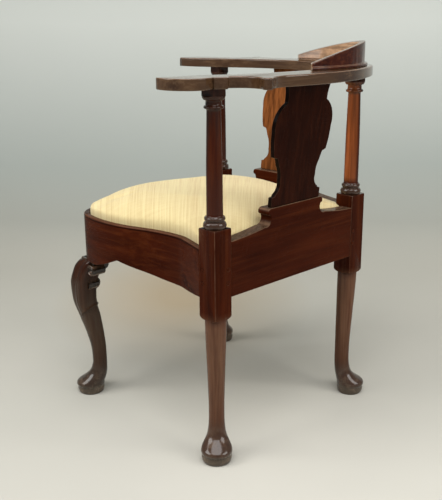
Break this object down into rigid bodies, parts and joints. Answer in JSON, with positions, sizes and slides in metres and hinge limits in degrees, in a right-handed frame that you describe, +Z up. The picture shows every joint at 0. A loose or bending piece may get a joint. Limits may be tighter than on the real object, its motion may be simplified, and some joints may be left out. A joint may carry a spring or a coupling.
{
  "type": "corner chair",
  "caption": "Corner chair with serpentine front rails, turned posts, vase splats, a horseshoe arm with raised crest and a drop-in upholstered seat.",
  "frame": {"origin": "on the floor in the middle of the overall width and depth; the middle of the square through the posts lies 0.3 mm from it towards -Y", "axes": "+Z up; the front corner of the seat points to -Y, the back post stands at +Y, and +X is the right side seen from in front"},
  "size_m": [0.6726, 0.6519, 0.7703],
  "materials": {
    "mahogany": "dark red-brown polish, old and slightly worn, satin to gloss",
    "secondary_wood": "bare sawn softwood, unpolished",
    "screw_steel": "dull dark steel",
    "cover_cloth": "pale straw cloth with a fine vertical rib",
    "stuffing": "felted hair under wadding",
    "webbing": "woven jute strap",
    "hessian": "open jute weave"
  },
  "bodies": {
    "chair_frame": {"front_leg": "mahogany", "back_post": "mahogany", "side_post_left": "mahogany", "side_post_right": "mahogany", "front_rail_left": "mahogany", "front_rail_right": "mahogany", "back_rail_left": "mahogany", "back_rail_right": "mahogany", "front_knee_bracket_left": "mahogany", "front_knee_bracket_right": "mahogany", "splat_left": "mahogany", "splat_right": "mahogany", "arm_left": "mahogany", "arm_right": "mahogany", "crest": "mahogany", "corner_block_front": "secondary_wood", "corner_block_back": "secondary_wood", "corner_block_left": "secondary_wood", "corner_block_right": "secondary_wood", "tenon_pegs": "mahogany", "crest_screws": "screw_steel"},
    "drop_in_seat": {"seat_frame_front_left": "secondary_wood", "seat_frame_front_right": "secondary_wood", "seat_frame_back_left": "secondary_wood", "seat_frame_back_right": "secondary_wood", "seat_webbing": "webbing", "seat_hessian": "hessian", "seat_pad": "stuffing", "seat_cover": "cover_cloth"}
  },
  "joints": [
    {"name": "seat_lift", "type": "slide", "parent": "chair_frame", "child": "drop_in_seat", "axis": [0, 0, 1], "range_m": [0, 0.1]}
  ]
}
